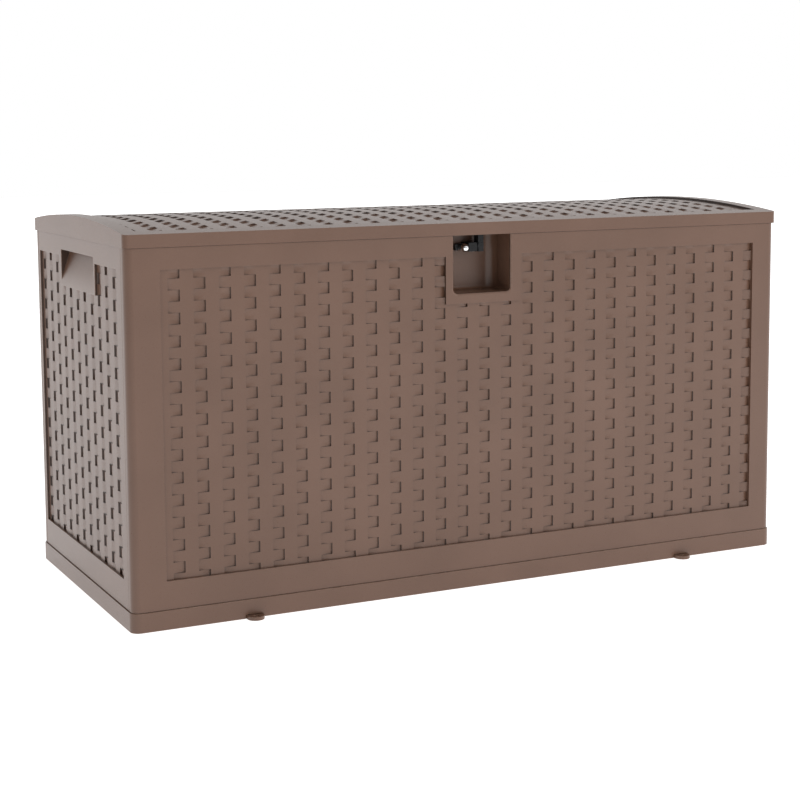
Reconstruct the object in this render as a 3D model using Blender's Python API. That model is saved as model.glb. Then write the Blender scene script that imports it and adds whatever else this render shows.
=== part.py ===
"""Deck storage box: a resin chest of four woven-pattern wall panels on a base frame, with a hinged lid.

Metres, +Z up. X runs along the front, -Y is the front, and the floor is z = 0.
"""

from math import cos, pi, radians, sin, sqrt

import bmesh
import bpy
from mathutils import Matrix, Vector

# Overall sizes
BODY_W = 1.204
BODY_D = 0.526
RIM_Z = 0.588
CORNER_R = 0.013
SEAT = 0.0003  # gap left between pieces that touch
OVERCUT = 0.010  # how far a cutting shape runs past the face that it opens
BITE = 0.001  # how far one shape sinks into the shape it is joined to
TINY = 1e-5
ARC_STEPS = 6
FINE_SIDES = 24
SMALL_SIDES = 16

# Base frame and floor
BASE_H = 0.031
BASE_LIP = 0.002
LEDGE_SETBACK = 0.005  # from the walls' inner plane to the floor well
LEDGE_W = 0.012
LEDGE_Z = 0.014
FLOOR_T = 0.011
BEARER_W = 0.060
TONGUE_T = 0.006
TONGUE_INSET = 0.005
TONGUE_H = 0.012
TONGUE_END = 0.045
TONGUE_ROOT = 0.005
GROOVE_CLEARANCE = 0.0004

# Ground anchor tabs
ANCHOR_INSET = 0.197  # from the box's end to a tab's centre line
ANCHOR_W = 0.028
ANCHOR_OUT = 0.018
ANCHOR_IN = 0.026
ANCHOR_T = 0.006
ANCHOR_HOLE_R = 0.004
ANCHOR_HOLE_SHIFT = 0.004  # the hole sits this far outward of the round end's centre

# Wall panels
PANEL_T = 0.020
RELIEF = 0.004  # the woven field sits this far below the smooth border
FIELD_ABOVE_BASE = 0.0451
FIELD_BELOW_RIM = 0.0335
FRONT_FIELD_LEFT = 0.0546
FRONT_FIELD_RIGHT = 0.0474
BACK_FIELD_END = 0.0510
SIDE_FIELD_FRONT = 0.0436
SIDE_FIELD_BACK = 0.0282
RIB_POCKET = 0.006
RIB_T = 0.006
RAIL_H = 0.036
FRONT_BAYS = 3
BACK_BAYS = 7
SIDE_BAYS = 3

# Latch recess in the front panel
RECESS_X = 0.0045
RECESS_W = 0.1055
RECESS_H = 0.0944  # from the rim down to the recess floor
RECESS_DEPTH = 0.060
RECESS_WALL = 0.003
RECESS_R = 0.007
RECESS_BACK_R = 0.016
RECESS_R_STEPS = 5
PLATE_X = 0.0077
PLATE_W = 0.1414
PLATE_H = 0.1116

# Hand-holds in the side panels
SCOOP_W = 0.189
SCOOP_LOW_BELOW_RIM = 0.0734
SCOOP_HIGH_BELOW_RIM = 0.0230
SCOOP_DEPTH = 0.0165
SCOOP_PLATE_W = 0.205
SCOOP_PLATE_H = 0.0835

# Lid
LID_LIP = 0.002
LID_GAP = 0.0005
LID_R = 0.009
SKIRT_H = 0.0205
LID_RISE = 0.0165
LID_SKIN = 0.012
SKIRT_T = 0.010
LID_FIELD_INSET_X = 0.027
LID_FIELD_INSET_Y = 0.027
LID_ARC_STEPS = 24
LID_RIB_PITCH = 0.190
LID_RIBS = 5
LID_RIB_T = 0.004
LID_RIB_LOW = 0.004
STIFFENER_Y = 0.100
STIFFENER_W = 0.016
STIFFENER_T = 0.0015
STIFFENER_END = 0.062  # from the box's end to a channel's end

# Hinges
HINGE_INSET = 0.182  # from the box's end to an outer hinge's middle
HINGE_GAP = 0.0035  # between the knuckles and the lid's back face
KNUCKLE_R = 0.006
HINGE_PIN_R = 0.0025
PIN_CLEARANCE = 0.0001
LEAF_W = 0.060
LEAF_H = 0.026
LID_LEAF_BELOW_SKIRT = 0.003
LEAF_T = 0.003
KNUCKLE_GAP = 0.0004
LEAF_CLEARANCE = 0.001
BODY_WEB = 0.006
LID_WEB = 0.004
PIN_END = 0.0015

# Latch
BOLT_R = 0.0035
BOLT_CLEARANCE = 0.0002
BOLT_SETBACK = 0.040
BOLT_BELOW_RIM = 0.0222
BOLT_L = 0.0383
BOLT_START = 0.0015
LUG_SPAN = 0.0413
LUG_T = 0.0055
LUG_H = 0.0095
GUIDE_W = 0.0165
GUIDE_H = 0.015
LUG_WALL = 0.003
HOUSING_T = 0.003
LATCH_X = -0.0275
KNOB_R = 0.0073
KNOB_X = -0.0145
KNOB_REACH = 0.015
STEM_R = 0.0016
KEEPER_GAP = 0.0005
KEEPER_W = 0.010
KEEPER_D = 0.017
KEEPER_T = 0.0155
KEEPER_CLEARANCE = 0.0008
KEEPER_FLANGE = 0.030
KEEPER_FLANGE_T = 0.003
KEEPER_FLANGE_END = 0.008
LATCH_SCREW_R = 0.0028
LATCH_SCREW_H = 0.002
LATCH_SCREW_ROUND = 0.0006
LATCH_SCREW_X = 0.0045

# Gas struts, placed from the hinge axis
STRUT_GAP = 0.014  # from the side wall's inner plane to the strut's centre line
STRUT_FOOT_Y = -0.060
STRUT_FOOT_Z = -0.220
STRUT_HEAD_Y = -0.0815
STRUT_HEAD_Z = -0.0157
CYLINDER_R = 0.009
CYLINDER_START = 0.020
CYLINDER_END = 0.165
ROD_R = 0.004
ROD_CLEARANCE = 0.0003
ROD_TAIL = 0.036
ROD_TAIL_GAP = 0.003
NECK_R = 0.005
NECK_START = 0.004
ROD_EYE_R = 0.0075
EYE_R = 0.0085
EYE_T = 0.008
STUD_R = 0.0035
STUD_CLEARANCE = 0.0002
BRACKET_T = 0.003
BRACKET_HALF = 0.018
LID_BRACKET_GAP = 0.0065  # from the side wall's inner plane to the lid bracket's near face
LID_BRACKET_T = 0.0025
LID_BRACKET_DROP = 0.012
LID_BRACKET_FLANGE = 0.020

LEDGE_INSET = PANEL_T + LEDGE_SETBACK
ANCHOR_X = BODY_W / 2 - ANCHOR_INSET
FIELD_LOW = BASE_H + FIELD_ABOVE_BASE
FIELD_HIGH = RIM_Z - FIELD_BELOW_RIM
RECESS_LOW = RIM_Z - RECESS_H
PLATE_LOW = RIM_Z - PLATE_H
SCOOP_LOW = RIM_Z - SCOOP_LOW_BELOW_RIM
SCOOP_HIGH = RIM_Z - SCOOP_HIGH_BELOW_RIM
SCOOP_PLATE_LOW = RIM_Z - SCOOP_PLATE_H
LID_W = BODY_W + 2 * LID_LIP
LID_D = BODY_D + 2 * LID_LIP
LID_LOW = RIM_Z + LID_GAP
SKIRT_TOP = LID_LOW + SKIRT_H
HINGE_X = BODY_W / 2 - HINGE_INSET
HINGE_Y = LID_D / 2 + HINGE_GAP + KNUCKLE_R
HINGE_Z = RIM_Z
BOLT_Z = RIM_Z - BOLT_BELOW_RIM
STRUT_X = PANEL_T + STRUT_GAP  # from the body's side plane to the strut's centre line
STIFFENER_L = BODY_W - 2 * STIFFENER_END
LID_TOP = SKIRT_TOP + LID_RISE
BOLT_Y = -BODY_D / 2 + BOLT_SETBACK


def clear_scene():
    for obj in list(bpy.data.objects):
        bpy.data.objects.remove(obj)


def resin(name, colour, roughness=0.42, metallic=0.0):
    """A Principled material shared by the pieces of one kind."""
    made = bpy.data.materials.get(name)
    if made:
        return made
    made = bpy.data.materials.new(name)
    made.use_nodes = True
    shader = made.node_tree.nodes["Principled BSDF"]
    shader.inputs["Base Color"].default_value = (*colour, 1.0)
    shader.inputs["Roughness"].default_value = roughness
    shader.inputs["Metallic"].default_value = metallic
    return made


def brown():
    return resin("brown_resin", (0.19, 0.112, 0.080))


def dark_brown():
    return resin("dark_brown_resin", (0.10, 0.060, 0.045), 0.5)


def black():
    return resin("black_painted_steel", (0.012, 0.012, 0.013), 0.35)


def zinc():
    return resin("zinc_plated_steel", (0.55, 0.56, 0.58), 0.35, 1.0)


def chrome():
    return resin("chrome", (0.82, 0.83, 0.85), 0.06, 1.0)


def solid(name, bm, centre=(0.0, 0.0, 0.0)):
    """Turns a bmesh in world coordinates into an object whose origin is at centre."""
    bmesh.ops.recalc_face_normals(bm, faces=bm.faces)
    bmesh.ops.translate(bm, vec=-Vector(centre), verts=bm.verts)
    mesh = bpy.data.meshes.new(name)
    bm.to_mesh(mesh)
    bm.free()
    obj = bpy.data.objects.new(name, mesh)
    obj.location = centre
    bpy.context.scene.collection.objects.link(obj)
    return obj


def middle(low, high):
    return tuple((a + b) / 2 for a, b in zip(low, high))


def box_bmesh(low, high):
    bm = bmesh.new()
    size = [b - a for a, b in zip(low, high)]
    place = Matrix.Translation(middle(low, high)) @ Matrix.Diagonal((*size, 1.0))
    bmesh.ops.create_cube(bm, size=1.0, matrix=place)
    return bm


def block(name, low, high):
    return solid(name, box_bmesh(low, high), middle(low, high))


def prism(name, outline, axis, start, end):
    """Extrudes an outline along X, Y or Z. An outline's point gives the other two coordinates, in order."""
    index = "XYZ".index(axis)
    bm = bmesh.new()
    rows = []
    for level in (start, end):
        rows.append([bm.verts.new([*point[:index], level, *point[index:]]) for point in outline])
    bm.faces.new(rows[0])
    bm.faces.new(reversed(rows[1]))
    count = len(outline)
    for i in range(count):
        j = (i + 1) % count
        bm.faces.new((rows[0][i], rows[1][i], rows[1][j], rows[0][j]))
    return solid(name, bm)


def round_bar(name, radius, start, end, segments=FINE_SIDES):
    """A cylinder from one point to another."""
    start, end = Vector(start), Vector(end)
    run = end - start
    turn = run.to_track_quat("Z", "Y").to_matrix().to_4x4()
    place = Matrix.Translation((start + end) / 2) @ turn
    bm = bmesh.new()
    bmesh.ops.create_cone(
        bm,
        cap_ends=True,
        segments=segments,
        radius1=radius,
        radius2=radius,
        depth=run.length,
        matrix=place,
    )
    return solid(name, bm, (start + end) / 2)


def rounded_rectangle(width, depth, radius):
    points = []
    corners = ((1, 1, 0.0), (-1, 1, pi / 2), (-1, -1, pi), (1, -1, 1.5 * pi))
    for sx, sy, first in corners:
        for step in range(ARC_STEPS + 1):
            angle = first + pi / 2 * step / ARC_STEPS
            x = sx * (width / 2 - radius) + radius * cos(angle)
            y = sy * (depth / 2 - radius) + radius * sin(angle)
            points.append((x, y))
    return points


def boolean(target, tool, operation):
    """Joins, cuts or intersects target with a hidden tool."""
    tool.hide_render = True
    tool.display_type = "WIRE"
    modifier = target.modifiers.new(tool.name, "BOOLEAN")
    modifier.operation = operation
    modifier.object = tool
    modifier.solver = "EXACT"


def cut(target, *tools):
    for tool in tools:
        boolean(target, tool, "DIFFERENCE")


def join(target, *tools):
    for tool in tools:
        boolean(target, tool, "UNION")


def finish(obj, material, soften=0.0):
    """Gives a piece its material, a small edge round where asked, and smooth round surfaces."""
    obj.data.materials.append(material)
    if soften:
        edge = obj.modifiers.new("edge_round", "BEVEL")
        edge.width = soften
        edge.segments = 1
        edge.limit_method = "ANGLE"
        edge.angle_limit = radians(50)
    obj.data.shade_smooth()
    obj.data.set_sharp_from_angle(angle=radians(30))
    return obj


def axis_empty(name, location):
    empty = bpy.data.objects.new(name, None)
    empty.location = location
    bpy.context.scene.collection.objects.link(empty)
    return empty


def hang_on(empty, *objects):
    """Parents pieces to the empty on their joint's axis and leaves them where they are."""
    for obj in objects:
        obj.parent = empty
        obj.matrix_parent_inverse = empty.matrix_basis.inverted()


# ---- base ------------------------------------------------------------------------------------


def ring_cutter(name, inset, low, high):
    x = BODY_W / 2 - inset
    y = BODY_D / 2 - inset
    return block(name, (-x, -y, low), (x, y, high))


def base_frame():
    """The band round the foot of the box, with a ledge for the floor and a groove for the wall tongues."""
    outline = rounded_rectangle(BODY_W + 2 * BASE_LIP, BODY_D + 2 * BASE_LIP, CORNER_R + BASE_LIP)
    frame = prism("base_frame", outline, "Z", 0.0, BASE_H)
    cut(frame, ring_cutter("floor_well", LEDGE_INSET, LEDGE_Z, BASE_H + OVERCUT))
    cut(frame, ring_cutter("floor_opening", LEDGE_INSET + LEDGE_W, -OVERCUT, BASE_H))
    for side in (-1, 1):
        cut(frame, groove("groove_y", side, True), groove("groove_x", side, False))
        for end in (-1, 1):
            cut(frame, anchor_slot(end * ANCHOR_X, side))
    return finish(frame, brown())


def groove(name, side, along_x):
    """The slot that takes one panel's tongue."""
    length = (BODY_W if along_x else BODY_D) / 2 - TONGUE_END + GROOVE_CLEARANCE
    far = (BODY_D if along_x else BODY_W) / 2 - TONGUE_INSET + GROOVE_CLEARANCE
    near = far - TONGUE_T - 2 * GROOVE_CLEARANCE
    low, high = sorted((side * near, side * far))
    bottom = BASE_H - TONGUE_H - GROOVE_CLEARANCE
    if along_x:
        return block(name, (-length, low, bottom), (length, high, BASE_H + OVERCUT))
    return block(name, (low, -length, bottom), (high, length, BASE_H + OVERCUT))


def floor_pieces():
    """Two floor panels on the ledge and a bearer under the seam between them."""
    x = BODY_W / 2 - LEDGE_INSET - SEAT
    y = BODY_D / 2 - LEDGE_INSET - SEAT
    bottom = LEDGE_Z + SEAT
    for name, low, high in (("floor_panel_left", -x, -SEAT), ("floor_panel_right", SEAT, x)):
        panel = block(name, (low, -y, bottom), (high, y, bottom + FLOOR_T))
        finish(panel, dark_brown())
    reach = BODY_D / 2 - LEDGE_INSET - LEDGE_W - SEAT
    bearer = block("floor_bearer", (-BEARER_W / 2, -reach, 0.0), (BEARER_W / 2, reach, LEDGE_Z))
    finish(bearer, dark_brown())


def anchor_ends(side):
    """The tab's inner and outer ends along Y."""
    band = BODY_D / 2 + BASE_LIP
    return side * (band - ANCHOR_IN), side * (band + ANCHOR_OUT)


def anchor_slot(x, side):
    """The slot a tab slides into, open below and at the band's outer face."""
    inner, outer = anchor_ends(side)
    low, high = sorted((inner - side * SEAT, outer + side * SEAT))
    half = ANCHOR_W / 2 + SEAT
    return block("anchor_slot", (x - half, low, -OVERCUT), (x + half, high, ANCHOR_T + SEAT))


def anchor_tab(name, x, side):
    """A flat tab with a round end and a screw hole, held in a slot under the base frame."""
    half = ANCHOR_W / 2
    inner, outer = anchor_ends(side)
    centre = outer - side * half
    outline = [(x - half, inner)]
    steps = 2 * ARC_STEPS
    for step in range(steps + 1):
        angle = pi - pi * step / steps
        outline.append((x + half * cos(angle), centre + side * half * sin(angle)))
    outline.append((x + half, inner))
    tab = prism(name, outline, "Z", 0.0, ANCHOR_T)
    hole_y = centre + side * ANCHOR_HOLE_SHIFT
    above = (x, hole_y, ANCHOR_T + OVERCUT)
    cut(tab, round_bar(name + "_hole", ANCHOR_HOLE_R, (x, hole_y, -OVERCUT), above))
    return finish(tab, brown())


# ---- walls -----------------------------------------------------------------------------------


def rib_pockets(name, axis, spans, face, inward):
    """Shallow pockets between the ribs on a panel's inner face. Each span is (low, high, bottom, top)."""
    tools = []
    deep = face - inward * RIB_POCKET
    clear = face + inward * OVERCUT
    for index, (low, high, bottom, top) in enumerate(spans):
        a, b = sorted((deep, clear))
        if axis == "Y":
            corners = (low, a, bottom), (high, b, top)
        else:
            corners = (a, low, bottom), (b, high, top)
        tools.append(block(f"{name}_pocket_{index}", *corners))
    return tools


def split(low, high, count):
    """Equal stretches from low to high with a rib between each two."""
    width = (high - low - RIB_T * (count - 1)) / count
    return [(low + i * (width + RIB_T), low + i * (width + RIB_T) + width) for i in range(count)]


def long_panel(name, side):
    """A front or back wall. Its rounded ends wrap the corners and the side walls butt against them."""
    face = side * BODY_D / 2
    inner = face - side * PANEL_T
    bottom = BASE_H + SEAT
    low, high = sorted((face, inner))
    wall = block(name, (-BODY_W / 2, low, bottom), (BODY_W / 2, high, RIM_Z))
    outline = rounded_rectangle(BODY_W, BODY_D, CORNER_R)
    boolean(wall, prism(name + "_corners", outline, "Z", bottom - OVERCUT, RIM_Z + OVERCUT), "INTERSECT")
    tongue_out = face - side * TONGUE_INSET
    tongue_in = tongue_out - side * TONGUE_T
    t_low, t_high = sorted((tongue_out, tongue_in))
    reach = BODY_W / 2 - TONGUE_END
    tip = BASE_H - TONGUE_H
    join(wall, block(name + "_tongue", (-reach, t_low, tip), (reach, t_high, bottom + TONGUE_ROOT)))
    return wall


def front_panel():
    wall = long_panel("front_panel", -1)
    face = -BODY_D / 2
    inner = face + PANEL_T
    back = face + RECESS_DEPTH
    half = RECESS_W / 2
    outer_half = half + RECESS_WALL
    floor = RECESS_LOW - RECESS_WALL
    join(
        wall,
        block(
            "recess_shell",
            (RECESS_X - outer_half, inner - BITE, floor),
            (RECESS_X + outer_half, back + RECESS_WALL, RIM_Z),
        ),
    )
    left = FRONT_FIELD_LEFT - BODY_W / 2
    right = BODY_W / 2 - FRONT_FIELD_RIGHT
    plate_left = PLATE_X - PLATE_W / 2
    plate_right = PLATE_X + PLATE_W / 2
    field = [
        (left, FIELD_LOW),
        (right, FIELD_LOW),
        (right, FIELD_HIGH),
        (plate_right, FIELD_HIGH),
        (plate_right, PLATE_LOW),
        (plate_left, PLATE_LOW),
        (plate_left, FIELD_HIGH),
        (left, FIELD_HIGH),
    ]
    cut(wall, prism("front_field", field, "Y", face - OVERCUT, face + RELIEF))
    cut(wall, recess_cutter(face, back))
    gap = outer_half + RIB_T
    edge = BODY_W / 2 - PANEL_T - RIB_T
    low = BASE_H + RAIL_H
    high = RIM_Z - RAIL_H
    spans = [(a, b, low, high) for a, b in split(-edge, RECESS_X - gap, FRONT_BAYS)]
    spans += [(a, b, low, high) for a, b in split(RECESS_X + gap, edge, FRONT_BAYS)]
    spans.append((RECESS_X - gap + RIB_T, RECESS_X + gap - RIB_T, low, floor - RIB_T))
    cut(wall, *rib_pockets("front", "Y", spans, inner, 1))
    return finish(wall, brown())


def recess_cutter(face, back):
    """The space of the recess: open to the front and at the top, with rounded inner corners."""
    bm = box_bmesh(
        (RECESS_X - RECESS_W / 2, face - OVERCUT, RECESS_LOW),
        (RECESS_X + RECESS_W / 2, back, RIM_Z + OVERCUT),
    )
    for upright, radius in ((True, RECESS_BACK_R), (False, RECESS_R)):
        picked = []
        for edge in bm.edges:
            low, high = sorted(end.co.z for end in edge.verts)
            middle_y = (edge.verts[0].co.y + edge.verts[1].co.y) / 2
            back_corner = high - low > TINY and middle_y > back - TINY
            floor_edge = high < RECESS_LOW + TINY and middle_y > face
            if back_corner if upright else floor_edge:
                picked.append(edge)
        bmesh.ops.bevel(
            bm, geom=picked, offset=radius, segments=RECESS_R_STEPS, profile=0.5, affect="EDGES"
        )
    return solid("recess_space", bm)


def back_panel():
    wall = long_panel("back_panel", 1)
    face = BODY_D / 2
    inner = face - PANEL_T
    half = BODY_W / 2 - BACK_FIELD_END
    cut(wall, block("back_field", (-half, face - RELIEF, FIELD_LOW), (half, face + OVERCUT, FIELD_HIGH)))
    edge = BODY_W / 2 - PANEL_T - RIB_T
    low = BASE_H + RAIL_H
    high = RIM_Z - RAIL_H
    spans = [(a, b, low, high) for a, b in split(-edge, edge, BACK_BAYS)]
    cut(wall, *rib_pockets("back", "Y", spans, inner, -1))
    return finish(wall, brown())


def side_panel(name, side):
    """An end wall between the wrapped corners, with a wedge-shaped hand-hold near the top."""
    face = side * BODY_W / 2
    inner = face - side * PANEL_T
    reach = BODY_D / 2 - PANEL_T - SEAT
    low, high = sorted((face, inner))
    bottom = BASE_H + SEAT
    wall = block(name, (low, -reach, bottom), (high, reach, RIM_Z))
    tongue_out = face - side * TONGUE_INSET
    t_low, t_high = sorted((tongue_out, tongue_out - side * TONGUE_T))
    end = BODY_D / 2 - TONGUE_END
    tip = BASE_H - TONGUE_H
    join(wall, block(name + "_tongue", (t_low, -end, tip), (t_high, end, bottom + TONGUE_ROOT)))
    front = -BODY_D / 2 + SIDE_FIELD_FRONT
    back = BODY_D / 2 - SIDE_FIELD_BACK
    half = SCOOP_PLATE_W / 2
    field = [
        (front, FIELD_LOW),
        (back, FIELD_LOW),
        (back, FIELD_HIGH),
        (half, FIELD_HIGH),
        (half, SCOOP_PLATE_LOW),
        (-half, SCOOP_PLATE_LOW),
        (-half, FIELD_HIGH),
        (front, FIELD_HIGH),
    ]
    cut(wall, prism(name + "_field", field, "X", *sorted((face - side * RELIEF, face + side * OVERCUT))))
    wedge = [
        (face - side * SCOOP_DEPTH, SCOOP_HIGH),
        (face + side * OVERCUT, SCOOP_HIGH),
        (face + side * OVERCUT, SCOOP_LOW),
        (face, SCOOP_LOW),
    ]
    cut(wall, prism(name + "_scoop", wedge, "Y", -SCOOP_W / 2, SCOOP_W / 2))
    rib_end = reach - RIB_T
    spans = [(a, b, BASE_H + RAIL_H, SCOOP_LOW - RIB_T) for a, b in split(-rib_end, rib_end, SIDE_BAYS)]
    cut(wall, *rib_pockets(name, "X", spans, inner, -side))
    return finish(wall, brown())


# ---- lid -------------------------------------------------------------------------------------


def arch(drop, half):
    """Points of the lid's curved top across its depth, lowered by drop and reaching half to each side."""
    chord = LID_D / 2
    radius = (chord**2 + LID_RISE**2) / (2 * LID_RISE)
    centre = LID_TOP - radius
    points = []
    for step in range(LID_ARC_STEPS + 1):
        y = half - 2 * half * step / LID_ARC_STEPS
        points.append((y, centre + sqrt(radius**2 - y**2) - drop))
    return points


def arched_prism(name, drop, half_depth, low, half_width):
    outline = [(-half_depth, low), (half_depth, low)] + arch(drop, half_depth)
    return prism(name, outline, "X", -half_width, half_width)


def lid_shell():
    """The lid: an arched top with a straight skirt, hollow underneath, with cross ribs."""
    shell = arched_prism("lid_shell", 0.0, LID_D / 2, LID_LOW, LID_W / 2)
    outline = rounded_rectangle(LID_W, LID_D, LID_R)
    boolean(shell, prism("lid_corners", outline, "Z", LID_LOW - OVERCUT, LID_TOP + OVERCUT), "INTERSECT")
    inner_w = LID_W / 2 - SKIRT_T
    inner_d = LID_D / 2 - SKIRT_T
    edges = [-inner_w]
    for index in range(LID_RIBS):
        rib = (index - (LID_RIBS - 1) / 2) * LID_RIB_PITCH
        edges += [rib - LID_RIB_T / 2, rib + LID_RIB_T / 2]
    edges.append(inner_w)
    bay = [(-inner_d, LID_LOW - OVERCUT), (inner_d, LID_LOW - OVERCUT)] + arch(LID_SKIN, inner_d)
    for index in range(0, len(edges), 2):
        cut(shell, prism(f"lid_bay_{index}", bay, "X", edges[index], edges[index + 1]))
    for side in (-1, 1):
        half = STIFFENER_W / 2 + SEAT
        y = side * STIFFENER_Y
        reach = STIFFENER_L / 2 + SEAT
        low = (-reach, y - half, LID_LOW - OVERCUT)
        cut(shell, block("stiffener_slot", low, (reach, y + half, stiffener_top() + SEAT)))
    clear = block(
        "rib_foot_clearance",
        (-inner_w + SEAT, -inner_d + SEAT, LID_LOW - OVERCUT),
        (inner_w - SEAT, inner_d - SEAT, LID_LOW + LID_RIB_LOW),
    )
    cut(shell, clear)
    half_x = LID_W / 2 - LID_FIELD_INSET_X
    half_y = LID_D / 2 - LID_FIELD_INSET_Y
    high = LID_TOP + OVERCUT
    field = [(half_y, high), (-half_y, high)] + list(reversed(arch(RELIEF, half_y)))
    cut(shell, prism("lid_field", field, "X", -half_x, half_x))
    return finish(shell, brown())


def lid_ceiling(y):
    """Height of the lid's inner surface above y."""
    chord = LID_D / 2
    radius = (chord**2 + LID_RISE**2) / (2 * LID_RISE)
    return LID_TOP - radius + sqrt(radius**2 - y**2) - LID_SKIN


def stiffener_top():
    return lid_ceiling(STIFFENER_Y + STIFFENER_W / 2) - SEAT


def lid_stiffener(name, side):
    """A steel channel that crosses the lid's ribs, open side down."""
    y = side * STIFFENER_Y
    half = STIFFENER_W / 2
    top = stiffener_top()
    low = top - STIFFENER_W
    inner = half - STIFFENER_T
    outline = [
        (y - half, low),
        (y - half, top),
        (y + half, top),
        (y + half, low),
        (y + inner, low),
        (y + inner, top - STIFFENER_T),
        (y - inner, top - STIFFENER_T),
        (y - inner, low),
    ]
    return finish(prism(name, outline, "X", -STIFFENER_L / 2, STIFFENER_L / 2), zinc())


# ---- hinges ----------------------------------------------------------------------------------


def knuckle_bounds(x):
    """The three knuckles' ends along X: body, lid, body."""
    third = LEAF_W / 3
    half_gap = KNUCKLE_GAP / 2
    first = (x - LEAF_W / 2, x - third / 2 - half_gap)
    second = (x - third / 2 + half_gap, x + third / 2 - half_gap)
    last = (x + third / 2 + half_gap, x + LEAF_W / 2)
    return first, second, last


def knuckle(name, low, high, web_to, web_y):
    """A barrel round the hinge axis with a web that reaches its leaf."""
    barrel = round_bar(name, KNUCKLE_R, (low, HINGE_Y, HINGE_Z), (high, HINGE_Y, HINGE_Z))
    bottom, top = sorted((HINGE_Z, web_to))
    web = block(name + "_web", (low, web_y, bottom), (high, HINGE_Y, top))
    return barrel, web


def pin_bore(name, x):
    """The hole along the hinge axis, run past both ends of the leaf."""
    return round_bar(
        name + "_bore",
        HINGE_PIN_R + PIN_CLEARANCE,
        (x - LEAF_W, HINGE_Y, HINGE_Z),
        (x + LEAF_W, HINGE_Y, HINGE_Z),
    )


def hinge_body_leaf(name, x):
    first, second, last = knuckle_bounds(x)
    front = BODY_D / 2 + SEAT
    top = HINGE_Z - KNUCKLE_R - LEAF_CLEARANCE
    leaf = block(name, (x - LEAF_W / 2, front, top - LEAF_H), (x + LEAF_W / 2, front + LEAF_T, top))
    for index, (low, high) in enumerate((first, last)):
        barrel, web = knuckle(f"{name}_knuckle_{index}", low, high, top - BODY_WEB, front)
        join(leaf, barrel, web)
    cut(leaf, pin_bore(name, x))
    return finish(leaf, dark_brown())


def hinge_lid_leaf(name, x):
    low, high = knuckle_bounds(x)[1]
    front = LID_D / 2 + SEAT
    bottom = HINGE_Z + KNUCKLE_R + LEAF_CLEARANCE
    top = SKIRT_TOP - LID_LEAF_BELOW_SKIRT
    leaf = block(name, (x - LEAF_W / 2, front, bottom), (x + LEAF_W / 2, front + LEAF_T, top))
    barrel, web = knuckle(name + "_knuckle", low, high, bottom + LID_WEB, front)
    join(leaf, barrel, web)
    cut(leaf, pin_bore(name, x))
    return finish(leaf, dark_brown())


def hinge_pin(name, x):
    reach = LEAF_W / 2 + PIN_END
    pin = round_bar(name, HINGE_PIN_R, (x - reach, HINGE_Y, HINGE_Z), (x + reach, HINGE_Y, HINGE_Z))
    return finish(pin, zinc())


# ---- latch -----------------------------------------------------------------------------------


def latch_housing():
    """A plate on the recess's back wall with a lug and a wider guide block that hold the bolt."""
    wall = -BODY_D / 2 + RECESS_DEPTH - SEAT
    half = LUG_H / 2
    housing = block(
        "latch_housing",
        (LATCH_X, wall - HOUSING_T, BOLT_Z - half),
        (LATCH_X + LUG_SPAN, wall, BOLT_Z + half),
    )
    front = BOLT_Y - BOLT_R - LUG_WALL
    lug_end = (LATCH_X + LUG_T, wall - BITE, BOLT_Z + half)
    lug = block("latch_lug", (LATCH_X, front, BOLT_Z - half), lug_end)
    right = LATCH_X + LUG_SPAN
    guide = block(
        "latch_guide",
        (right - GUIDE_W, front, BOLT_Z - GUIDE_H / 2),
        (right, wall, BOLT_Z + GUIDE_H / 2),
    )
    join(housing, lug, guide)
    reach = LUG_SPAN + OVERCUT
    bore = round_bar(
        "latch_bore",
        BOLT_R + BOLT_CLEARANCE,
        (LATCH_X - reach, BOLT_Y, BOLT_Z),
        (LATCH_X + reach, BOLT_Y, BOLT_Z),
    )
    cut(housing, bore)
    return finish(housing, black())


def latch_bolt():
    start = LATCH_X + BOLT_START
    bolt = round_bar("latch_bolt", BOLT_R, (start, BOLT_Y, BOLT_Z), (start + BOLT_L, BOLT_Y, BOLT_Z))
    deep = (KNOB_X, BOLT_Y + BITE, BOLT_Z)
    out = (KNOB_X, BOLT_Y - OVERCUT, BOLT_Z)
    cut(bolt, round_bar("knob_socket", STEM_R + SEAT, deep, out, SMALL_SIDES))
    return finish(bolt, black())


def latch_knob():
    """A ball on a thin stem that is screwed into the bolt."""
    centre = (KNOB_X, BOLT_Y - KNOB_REACH, BOLT_Z)
    bm = bmesh.new()
    bmesh.ops.create_uvsphere(
        bm,
        u_segments=FINE_SIDES,
        v_segments=SMALL_SIDES,
        radius=KNOB_R,
        matrix=Matrix.Translation(centre),
    )
    knob = solid("latch_knob", bm, centre)
    stem = round_bar("knob_stem", STEM_R, (KNOB_X, BOLT_Y + BITE - SEAT, BOLT_Z), centre, SMALL_SIDES)
    join(knob, stem)
    return finish(knob, chrome())


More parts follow.
